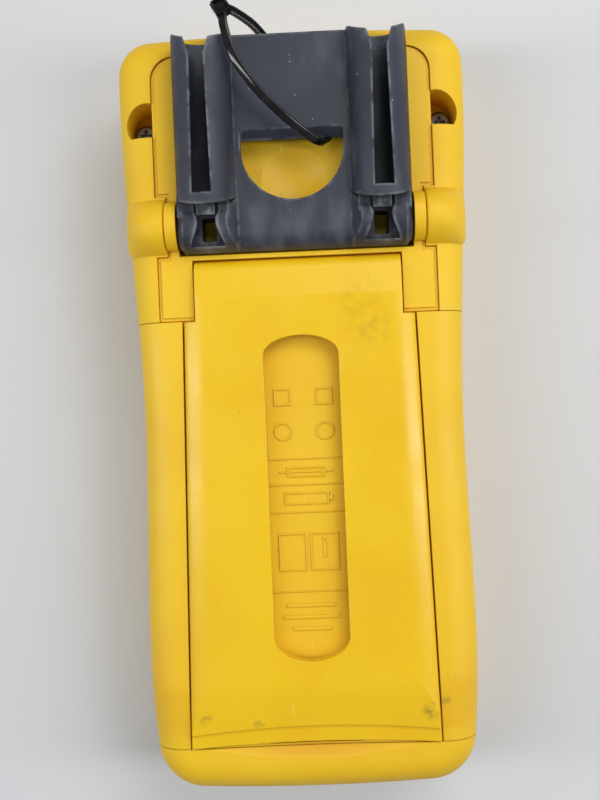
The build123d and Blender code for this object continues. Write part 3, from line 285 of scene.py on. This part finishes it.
def yellow(name, roughness, grain_scale, grain, smudges=(), rub=0.0, shade_patches=()):
    """Yellow moulding: uneven tone, painted shade in seams, corners and given patches, specks,
    scratches and a fine grain.

    A smudge (patchy dirt) and a painted shade patch (even) are a centre, a radius, an amount and a
    stretch.
    """
    material, shader, tree = new_material(name)
    tone = mix(tree, ramp(tree, noise(tree, 22.0, 3.0), 0.35, 0.7), YELLOW, YELLOW_DEEP)
    # painted shade: darker orange laid deep in seams and corners from an ambient occlusion mask
    tone = lay_over(tree, tone, SEAM_SHADE, crevice(tree, 0.0018, 0.25, 0.8), 0.75)
    # painted shade: even darker orange patches where a surface turns away from the light
    for centre, radius, amount, stretch in shade_patches:
        tone = lay_over(tree, tone, PATCH_SHADE, spot(tree, centre, radius, stretch), amount)
    tone = lay_over(tree, tone, SOOT, specks(tree, 210.0, 0.055, 1.7), 0.55)
    marks = scratches(tree, 0.5, 900.0)
    tone = lay_over(tree, tone, YELLOW_RUBBED, marks, 0.30)
    for centre, radius, amount, stretch in smudges:
        patchy = ramp(tree, noise(tree, 420.0, 4.0), 0.38, 0.64)
        where = both(tree, spot(tree, centre, radius, stretch), patchy)
        tone = lay_over(tree, tone, SOOT, where, amount)
    tree.links.new(tone, shader.inputs["Base Color"])
    uneven = ramp(tree, noise(tree, 60.0, 4.0), 0.3, 0.7, roughness - 0.05, roughness + 0.07)
    uneven = combine(tree, "SUBTRACT", uneven, both(tree, marks, rub))
    tree.links.new(uneven, shader.inputs["Roughness"])
    shader.inputs["Specular IOR Level"].default_value = 0.45
    shader.inputs["Subsurface Weight"].default_value = 0.12
    shader.inputs["Subsurface Radius"].default_value = (0.0012, 0.0007, 0.0001)
    shader.inputs["Subsurface Scale"].default_value = 1.0
    normal = bump(tree, noise(tree, grain_scale, 2.0), grain, 0.00005, soft_edges(tree, 0.0004))
    normal = bump(tree, noise(tree, 130.0, 1.0), 0.10, 0.0001, normal)
    tree.links.new(normal, shader.inputs["Normal"])
    return material


def holder_grey():
    """Scuffed dark grey moulding with pale rubbed edges, dust and painted shade in its corners."""
    material, shader, tree = new_material("holder_grey")
    tone = mix(tree, ramp(tree, noise(tree, 35.0, 4.0), 0.3, 0.7), HOLDER, HOLDER_PALE)
    broken = ramp(tree, noise(tree, 260.0, 5.0), 0.38, 0.58)
    edges = both(tree, edge_mask(tree, 0.0013, 0.88, 0.995), broken)
    tone = lay_over(tree, tone, RUBBED_EDGE, edges, 0.62)
    streaks = ramp(tree, noise(tree, 90.0, 5.0, (1, 0.35, 1)), 0.50, 0.70)
    tone = lay_over(tree, tone, SMEAR, streaks, 0.20)
    for side in (-1, 1):
        pocket = spot(tree, row(24.8 * side, 50.5, 53), 0.0065, (1, 0.9, 0.4))
        patchy = ramp(tree, noise(tree, 300.0, 5.0), 0.35, 0.62)
        tone = lay_over(tree, tone, SCUFF, both(tree, pocket, patchy), 0.62)
        mouth = spot(tree, row(24.8 * side, 108.5, 57), 0.0085, (1, 0.8, 0.3))
        patchy = ramp(tree, noise(tree, 220.0, 5.0), 0.35, 0.62)
        tone = lay_over(tree, tone, SCUFF, both(tree, mouth, patchy), 0.45)
    tone = lay_over(tree, tone, DUST, specks(tree, 380.0, 0.10, 3.1), 0.8)
    # painted shade: near-black deep in corners and channels from an ambient occlusion mask
    tone = lay_over(tree, tone, HOLDER_SHADE, crevice(tree, 0.004), 0.75)
    tree.links.new(tone, shader.inputs["Base Color"])
    uneven = ramp(tree, noise(tree, 120.0, 5.0), 0.3, 0.7, 0.42, 0.60)
    tree.links.new(uneven, shader.inputs["Roughness"])
    normal = bump(tree, noise(tree, 2600.0, 2.0), 0.30, 0.00004, soft_edges(tree, 0.0006))
    normal = bump(tree, scratches(tree, 0.1, 1100.0), 0.25, 0.00003, normal)
    tree.links.new(normal, shader.inputs["Normal"])
    return material


def plain_plastic(name, colour, roughness, grain=0.25, edge=0.0004, scale=2600.0):
    """Moulded plastic with a fine texture, slight tone changes and painted shade in its corners."""
    material, shader, tree = new_material(name)
    paler = tuple(min(1.0, c * 1.25 + 0.004) for c in colour)
    crevice_shade = tuple(c * 0.45 for c in colour)
    tone = mix(tree, ramp(tree, noise(tree, 50.0, 3.0), 0.35, 0.7), colour, paler)
    # painted shade: darker deep in seams and corners from an ambient occlusion mask
    tone = lay_over(tree, tone, crevice_shade, crevice(tree, 0.002), 0.7)
    tree.links.new(tone, shader.inputs["Base Color"])
    uneven = ramp(tree, noise(tree, 140.0, 4.0), 0.3, 0.7, roughness - 0.05, roughness + 0.06)
    tree.links.new(uneven, shader.inputs["Roughness"])
    normal = bump(tree, noise(tree, scale, 2.0), grain, 0.00004, soft_edges(tree, edge))
    tree.links.new(normal, shader.inputs["Normal"])
    return material


def metal(name, colour, roughness):
    """Plated metal with fine brushing and tarnish in its corners."""
    material, shader, tree = new_material(name)
    shader.inputs["Metallic"].default_value = 1.0
    dull = tuple(c * 0.45 for c in colour)
    tarnish = ramp(tree, noise(tree, 700.0, 4.0), 0.55, 0.8)
    stain = combine(tree, "MAXIMUM", crevice(tree, 0.0012), tarnish)
    tone = lay_over(tree, colour, dull, stain, 0.8)
    tree.links.new(tone, shader.inputs["Base Color"])
    uneven = ramp(tree, noise(tree, 900.0, 3.0), 0.3, 0.7, roughness - 0.08, roughness + 0.12)
    tree.links.new(uneven, shader.inputs["Roughness"])
    normal = bump(tree, noise(tree, 1500.0, 2.0, (1, 6, 1)), 0.15, 0.00003, soft_edges(tree, 0.00025))
    tree.links.new(normal, shader.inputs["Normal"])
    return material


def clear_window():
    """Slightly tinted clear window with faint scratches."""
    material, shader, tree = new_material("clear_window")
    shader.inputs["Base Color"].default_value = (0.94, 0.97, 0.96, 1)
    shader.inputs["Transmission Weight"].default_value = 1.0
    shader.inputs["IOR"].default_value = 1.49
    hazy = ramp(tree, scratches(tree, 0.9, 700.0), 0.0, 1.0, 0.02, 0.20)
    tree.links.new(hazy, shader.inputs["Roughness"])
    return material


def display_glass():
    """Grey-green display, slightly uneven, with a faint texture."""
    material, shader, tree = new_material("display_glass")
    cloud = ramp(tree, noise(tree, 18.0, 2.0), 0.3, 0.7)
    tone = mix(tree, cloud, (0.235, 0.270, 0.205), (0.265, 0.300, 0.230))
    tree.links.new(tone, shader.inputs["Base Color"])
    uneven = ramp(tree, noise(tree, 300.0, 2.0), 0.3, 0.7, 0.22, 0.30)
    tree.links.new(uneven, shader.inputs["Roughness"])
    tree.links.new(bump(tree, noise(tree, 3000.0, 1.0), 0.08, 0.00002), shader.inputs["Normal"])
    return material


def paint(material, *names):
    """Gives a material to CAD nodes."""
    for name in names:
        slots = NODES[name].material_slots
        for slot in slots:
            slot.link = "OBJECT"
            slot.material = material
        if not slots:
            NODES[name].data.materials.append(material)


def paint_outside():
    """The yellow mouldings, the holder, and what shows on the back."""
    stand_marks = [
        (row(-31.5, -87.3, 47.5), 0.0030, 0.45, (1, 1, 0.3)),
        (row(-16.4, -89.3, 47.8), 0.0015, 0.85, (0.6, 1, 0.3)),
        (row(33.2, -87.0, 47.5), 0.0036, 0.60, (1, 1, 0.3)),
        (row(17.0, 30.0, 49.5), 0.0100, 0.12, (1, 0.8, 0.3)),
        (row(22.0, 22.0, 49.5), 0.0070, 0.16, (0.7, 1, 0.3)),
        (row(-6.0, 8.0, 49.5), 0.0100, 0.10, (1, 1, 0.3)),
    ]
    door_marks = [(row(37.4, -84.8, 46.5), 0.0024, 0.45, (1, 1, 0.3))]
    # painted shade: darker orange patches on the sloped lower corners of the skirts, and in the nail
    # scoop under the stand's foot
    skirt_shade = [(row(side * 44.0, -86.0, 38.0), 0.0170, 0.45, (1, 1, 0.5)) for side in (-1, 1)]
    scoop_shade = (row(0, -98.0, 45.0), 0.0310, 0.80, (1, 8.5, 2.5))
    skin = yellow("overmould_yellow", 0.58, 2300.0, 0.30, shade_patches=[*skirt_shade, scoop_shade])
    paint(skin, "rear_overmould", "front_overmould")
    paint(yellow("shell_yellow", 0.44, 2800.0, 0.22), "rear_case")
    paint(yellow("door_yellow", 0.50, 2500.0, 0.26, door_marks, shade_patches=skirt_shade), "battery_door")
    paint(yellow("stand_yellow", 0.30, 1900.0, 0.24, stand_marks, 0.1), "tilt_stand")
    paint(holder_grey(), "probe_holder")
    latch = plain_plastic("latch_black", (0.03, 0.03, 0.032), 0.45)
    paint(latch, "door_latch_left", "door_latch_right")
    steel = metal("zinc_steel", (0.30, 0.29, 0.28), 0.38)
    paint(steel, "case_screws", "stand_hinge_pins", "holder_hinge_pins", "detent_spring")


def paint_front():
    """The front face: its panel, keys, knob, sockets and display."""
    front = plain_plastic("front_grey", (0.046, 0.050, 0.058), 0.52, 0.35, 0.0003)
    paint(front, "front_case", "display_frame")
    paint(plain_plastic("shroud_black", (0.016, 0.016, 0.018), 0.42), "socket_shrouds")
    paint(plain_plastic("knob_grey", (0.038, 0.041, 0.047), 0.45, 0.30, 0.0006), "selector_knob")
    keys = [name for name in NODES if name.startswith(("softkey", "function_key"))]
    paint(plain_plastic("key_grey", (0.40, 0.41, 0.41), 0.50, 0.15, 0.0005), *keys)
    round_key = plain_plastic("key_yellow", (0.72, 0.46, 0.025), 0.50, 0.15, 0.0005)
    paint(round_key, "power_key", "backlight_key")
    gold = metal("gilt_brass", (0.72, 0.50, 0.17), 0.28)
    paint(gold, "socket_amps", "socket_milliamps", "socket_common", "socket_volts")
    paint(gold, "selector_contacts")
    paint(clear_window(), "display_window")
    paint(display_glass(), "display_panel")
    paint(plain_plastic("light_guide", (0.80, 0.80, 0.76), 0.35, 0.05), "display_backlight")


def paint_inside():
    """The seals, the cells and what is on the board."""
    rubber = plain_plastic("black_rubber", (0.018, 0.018, 0.018), 0.70, 0.20)
    paint(rubber, "door_seal", "case_seal", "selector_seal")
    paint(rubber, "keypad_membrane", "display_contact_strips")
    tin = metal("tinned_metal", (0.62, 0.61, 0.58), 0.30)
    paint(tin, "battery_contacts", "fuse_caps", "fuse_clips")
    paint(tin, "shield_can", "current_shunt", "dome_switches")
    paint(plain_plastic("natural_plastic", (0.36, 0.35, 0.32), 0.48), "selector_rotor")
    paint(plain_plastic("cell_film", (0.05, 0.05, 0.056), 0.25, 0.05), "battery_cells")
    paint(plain_plastic("white_ceramic", (0.74, 0.72, 0.66), 0.25, 0.05), "fuse_tubes")
    paint(plain_plastic("blue_epoxy", (0.03, 0.08, 0.28), 0.30, 0.10), "surge_protectors")
    paint(plain_plastic("board_green", (0.012, 0.11, 0.04), 0.32, 0.15), "circuit_board")
    paint(plain_plastic("black_epoxy", (0.014, 0.014, 0.015), 0.5), "circuit_chips", "beeper")


# ---------------------------------------------------------------- cable tie


def new_object(name, mesh_maker, material, body, smooth=True):
    """A mesh piece made by a bmesh function, riding on a body."""
    mesh = bpy.data.meshes.new(name)
    work = bmesh.new()
    mesh_maker(work)
    bmesh.ops.recalc_face_normals(work, faces=work.faces)
    work.to_mesh(mesh)
    work.free()
    if smooth:
        mesh.polygons.foreach_set("use_smooth", [True] * len(mesh.polygons))
    piece = bpy.data.objects.new(name, mesh)
    bpy.context.scene.collection.objects.link(piece)
    mesh.materials.append(material)
    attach(piece, body)
    return piece


def catmull_rom(p, q, r, s, t):
    """One coordinate of the curve from q to r, with p before them and s after."""
    square = (2 * p - 5 * q + 4 * r - s) * t * t
    cube = (3 * q - p - 3 * r + s) * t**3
    return 0.5 * (2 * q + (r - p) * t + square + cube)


def curve_points(points, steps):
    """A smooth curve through the points, each a tuple of coordinates and a twist."""
    ends = [points[0]] + list(points) + [points[-1]]
    line = []
    for a, b, c, d in zip(ends, ends[1:], ends[2:], ends[3:]):
        for step in range(steps):
            t = step / steps
            line.append(tuple(catmull_rom(*four, t) for four in zip(a, b, c, d)))
    line.append(points[-1])
    return line


STRAP_ROUTE = (  # place in mm from the middle of the case, and twist in degrees
    (-17.6, 111.4, 58.6, 8.0), (-17.2, 107.0, 59.5, 14.0), (-14.8, 98.5, 59.8, 20.0),
    (-9.4, 90.2, 59.3, 22.0), (-3.0, 83.4, 57.9, 20.0), (3.0, 78.4, 55.6, 16.0),
    (7.0, 76.0, 53.0, 10.0), (9.6, 76.0, 50.2, 4.0), (10.2, 78.6, 47.6, 0.0),
    (8.4, 84.4, 46.5, 0.0), (3.6, 92.0, 46.5, 0.0), (-1.6, 100.0, 46.6, 0.0),
    (-5.6, 105.6, 48.6, 2.0), (-9.6, 109.6, 52.4, 4.0), (-14.2, 112.0, 56.4, 4.0),
    (-16.4, 112.6, 58.0, 4.0),
)
STRAP_STEPS = 22
STRAP_WIDTH = 2.5
STRAP_THICK = 1.0
STRAP_ACROSS = Vector((0.83, 0.557, 0))
TOOTH_HIGH, TOOTH_LOW = 0.14, -0.12
HEAD_SIZE = (4.6, 4.9, 3.9)
HEAD_PLACE = (-18.0, 112.9, 57.9)
HEAD_BEVEL = 0.55
HEAD_RIM = 0.9
HEAD_HOLLOW = 1.1


def strap_mesh(work):
    """The strap: a flat section with rounded edges and a row of teeth, swept along its route."""
    line = curve_points(STRAP_ROUTE, STRAP_STEPS)
    places = [row(*point[:3]) for point in line]
    rings = []
    half = STRAP_WIDTH / 2
    thick = STRAP_THICK / 2
    for index, place in enumerate(places):
        ahead = places[min(index + 1, len(places) - 1)] - places[max(index - 1, 0)]
        ahead.normalize()
        side = (STRAP_ACROSS - ahead * STRAP_ACROSS.dot(ahead)).normalized()
        turned = Matrix.Rotation(math.radians(line[index][3]), 3, ahead) @ side
        face = ahead.cross(turned).normalized()
        tooth = TOOTH_HIGH if index % 3 == 0 else TOOTH_LOW
        section = (
            (-half, -thick * 0.55), (-half * 0.86, -thick), (-half * 0.70, -thick),
            (-half * 0.62, -thick + 0.22 + tooth), (half * 0.62, -thick + 0.22 + tooth),
            (half * 0.70, -thick), (half * 0.86, -thick), (half, -thick * 0.55),
            (half, thick * 0.55), (half * 0.84, thick), (-half * 0.84, thick), (-half, thick * 0.55),
        )
        corners = [place + turned * (u * MM) + face * (v * MM) for u, v in section]
        rings.append([work.verts.new(corner) for corner in corners])
    for first, second in zip(rings, rings[1:]):
        for i in range(len(first)):
            j = (i + 1) % len(first)
            work.faces.new((first[i], first[j], second[j], second[i]))
    work.faces.new(rings[0])
    work.faces.new(list(reversed(rings[-1])))


def head_mesh(work):
    """The ratchet head: a rounded block with a hollowed top."""
    size = Vector(HEAD_SIZE) * MM
    made = bmesh.ops.create_cube(work, size=1.0)
    for vert in made["verts"]:
        vert.co = Vector((vert.co.x * size.x, vert.co.y * size.y, vert.co.z * size.z))
    bmesh.ops.bevel(work, geom=work.edges[:], offset=HEAD_BEVEL * MM, segments=3, affect="EDGES")
    top = [face for face in work.faces if face.normal.z > 0.99 and face.calc_area() > 4e-6]
    bmesh.ops.inset_region(work, faces=top, thickness=HEAD_RIM * MM, depth=0.0)
    sunk = list({vert for face in top for vert in face.verts})
    bmesh.ops.translate(work, verts=sunk, vec=(0, 0, -HEAD_HOLLOW * MM))
    turn = Matrix.Rotation(math.radians(30), 4, "Z") @ Matrix.Rotation(math.radians(-14), 4, "X")
    place = Matrix.Translation(row(*HEAD_PLACE)) @ turn
    bmesh.ops.transform(work, matrix=place, verts=work.verts)


def make_tie():
    """Black nylon cable tie, looped through the holder's hole."""
    material, shader, tree = new_material("black_nylon")
    cloud = ramp(tree, noise(tree, 300.0, 3.0), 0.4, 0.7)
    tone = mix(tree, cloud, (0.004, 0.004, 0.005), (0.011, 0.011, 0.012))
    tree.links.new(tone, shader.inputs["Base Color"])
    uneven = ramp(tree, noise(tree, 500.0, 3.0), 0.3, 0.7, 0.10, 0.20)
    tree.links.new(uneven, shader.inputs["Roughness"])
    strap = new_object("tie_strap", strap_mesh, material, "holder")
    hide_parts("cable_tie_strap")
    head = new_object("tie_head", head_mesh, material, "holder", False)
    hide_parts("cable_tie_head")


# ---------------------------------------------------------------- front face

KNOB = (0.0, -42.0)  # the selector's axis
PRINT = (1.93, 2.2)  # lowest and highest z of the marks on the front panel
SEGMENTS = (5.42, 5.52)  # the same on the display
LINE = (0.72, 0.9)  # and on the knob's grip


def flat_outline(work, points, low, high):
    """A flat piece with a polygonal outline, given in mm from the middle of the case."""
    rings = [[work.verts.new(row(x, y, z)) for x, y in points] for z in (low, high)]
    for i in range(len(points)):
        j = (i + 1) % len(points)
        work.faces.new((rings[0][i], rings[0][j], rings[1][j], rings[1][i]))
    work.faces.new(rings[0])
    work.faces.new(list(reversed(rings[1])))


def flat_bar(work, centre, length, width, turn, low, high):
    """A flat bar with cut corners, turned about its middle."""
    a, b, c = length / 2, width / 2, min(length, width) * 0.22
    corners = (
        (-a + c, -b), (a - c, -b), (a, -b + c), (a, b - c),
        (a - c, b), (-a + c, b), (-a, b - c), (-a, -b + c),
    )
    cos, sin = math.cos(turn), math.sin(turn)
    points = [(centre[0] + x * cos - y * sin, centre[1] + x * sin + y * cos) for x, y in corners]
    flat_outline(work, points, low, high)


def flat_ring(work, centre, inner, outer, low, high, start=0.0, end=360.0):
    """A flat ring, or a part of one between two angles in degrees."""
    steps = max(6, int((end - start) / 6))
    closed = end - start >= 360
    rows = []
    for index in range(steps if closed else steps + 1):
        angle = math.radians(start + (end - start) * index / steps)
        cos, sin = math.cos(angle), math.sin(angle)
        section = ((inner, low), (outer, low), (outer, high), (inner, high))
        places = [row(centre[0] + r * cos, centre[1] + r * sin, z) for r, z in section]
        rows.append([work.verts.new(place) for place in places])
    pairs = list(zip(rows, rows[1:]))
    if closed:
        pairs.append((rows[-1], rows[0]))
    for first, second in pairs:
        for i in range(4):
            j = (i + 1) % 4
            work.faces.new((first[i], first[j], second[j], second[i]))
    if not closed:
        work.faces.new(rows[0])
        work.faces.new(list(reversed(rows[-1])))


def dial_symbol(work, kind, x, y):
    """One of five generic symbols round the dial."""
    if kind == 0:
        flat_ring(work, (x, y), 1.3, 1.75, *PRINT)
    elif kind == 1:
        flat_bar(work, (x, y + 0.7), 4.2, 0.5, 0, *PRINT)
        for step in (-1.6, 0, 1.6):
            flat_bar(work, (x + step, y - 0.7), 1.1, 0.5, 0, *PRINT)
    elif kind == 2:
        flat_ring(work, (x - 1.0, y), 0.8, 1.25, *PRINT, 0, 180)
        flat_ring(work, (x + 1.0, y), 0.8, 1.25, *PRINT, 180, 360)
    elif kind == 3:
        arrow = [(x - 1.6, y - 1.3), (x + 1.2, y), (x - 1.6, y + 1.3)]
        flat_outline(work, arrow, *PRINT)
        flat_bar(work, (x + 1.6, y), 0.5, 2.8, 0, *PRINT)
    else:
        flat_ring(work, (x, y + 0.2), 1.2, 1.65, *PRINT, -45, 225)
        for step in (-1.5, 1.5):
            flat_bar(work, (x + step, y - 1.2), 1.2, 0.45, 0, *PRINT)


def dial_marks(work):
    """A tick at each selector position, with its generic symbol outside it."""
    for index in range(10):
        angle = math.radians(90 - 20 * index)
        cos, sin = math.cos(angle), math.sin(angle)
        tick = (KNOB[0] + 27.4 * cos, KNOB[1] + 27.4 * sin)
        flat_bar(work, tick, 2.6, 0.7, angle, *PRINT)
        dial_symbol(work, index % 5, KNOB[0] + 32.0 * cos, KNOB[1] + 32.0 * sin)
    flat_ring(work, KNOB, 35.6, 36.1, *PRINT, -100, 100)


def socket_marks(work):
    """Rings round the sockets and bars that group them."""
    for x in (-28.5, -9.5, 9.5, 28.5):
        flat_ring(work, (x, -92.0), 6.9, 7.5, *PRINT)
    flat_bar(work, (-19.0, -80.6), 24.0, 0.6, 0, *PRINT)
    flat_bar(work, (19.0, -80.6), 24.0, 0.6, 0, *PRINT)
    flat_outline(work, [(-3.4, -78.6), (3.4, -78.6), (0, -84.6)], *PRINT)


def key_marks(work):
    """A printed bar under each oblong key."""
    for y in (17.0, 5.0):
        for x in (-27.0, -9.0, 9.0, 27.0):
            flat_bar(work, (x, y - 4.9), 7.0, 0.5, 0, *PRINT)


def display_digits(work):
    """Five seven-segment digits, a bar scale and a few flags on the display."""
    shown = ("abcdef", "bc", "abged", "abcdefg", "abcfg")
    for index, lit in enumerate(shown):
        x = -25.0 + 12.4 * index
        y = 66.0
        bars = {
            "a": ((x, y + 8.4), 6.0, 1.3), "d": ((x, y - 8.4), 6.0, 1.3), "g": ((x, y), 6.0, 1.3),
            "b": ((x + 3.8, y + 4.2), 1.3, 7.0), "c": ((x + 3.8, y - 4.2), 1.3, 7.0),
            "f": ((x - 3.8, y + 4.2), 1.3, 7.0), "e": ((x - 3.8, y - 4.2), 1.3, 7.0),
        }
        for name in lit:
            centre, length, width = bars[name]
            flat_bar(work, centre, length, width, 0, *SEGMENTS)
    flat_bar(work, (-31.5 + 12.4, 57.6), 1.3, 1.3, 0, *SEGMENTS)
    for index in range(33):
        height = 3.4 if index % 8 == 0 else 2.0
        flat_bar(work, (-30.0 + 1.85 * index, 43.0 + height / 2), 0.7, height, 0, *SEGMENTS)
    flat_bar(work, (-0.4, 41.8), 60.5, 0.5, 0, *SEGMENTS)
    for x in (-28.0, -18.0, 18.0, 28.0):
        flat_ring(work, (x, 82.5), 1.5, 2.0, *SEGMENTS)


def pointer(work):
    """The white line in the knob's grip."""
    flat_bar(work, (KNOB[0], KNOB[1] + 15), 9.0, 0.95, math.pi / 2, *LINE)


def make_front_details():
    """Printed marks and the display's picture."""
    white = plain_plastic("print_white", (0.62, 0.63, 0.62), 0.55, 0.1)
    yellow_print = plain_plastic("print_yellow", (0.72, 0.46, 0.02), 0.55, 0.1)
    red = plain_plastic("print_red", (0.45, 0.020, 0.014), 0.5, 0.1)
    dark = plain_plastic("segment_black", (0.020, 0.024, 0.022), 0.35, 0.1)
    new_object("dial_marks", dial_marks, white, "case", False)
    new_object("socket_marks", socket_marks, red, "case", False)
    new_object("key_marks", key_marks, yellow_print, "case", False)
    new_object("display_digits", display_digits, dark, "case", False)
    new_object("knob_pointer", pointer, white, "selector", False)


# ---------------------------------------------------------------- the scene

make_camera()
make_floor()
make_lights()
paint_outside()
paint_front()
paint_inside()
make_tie()
make_front_details()
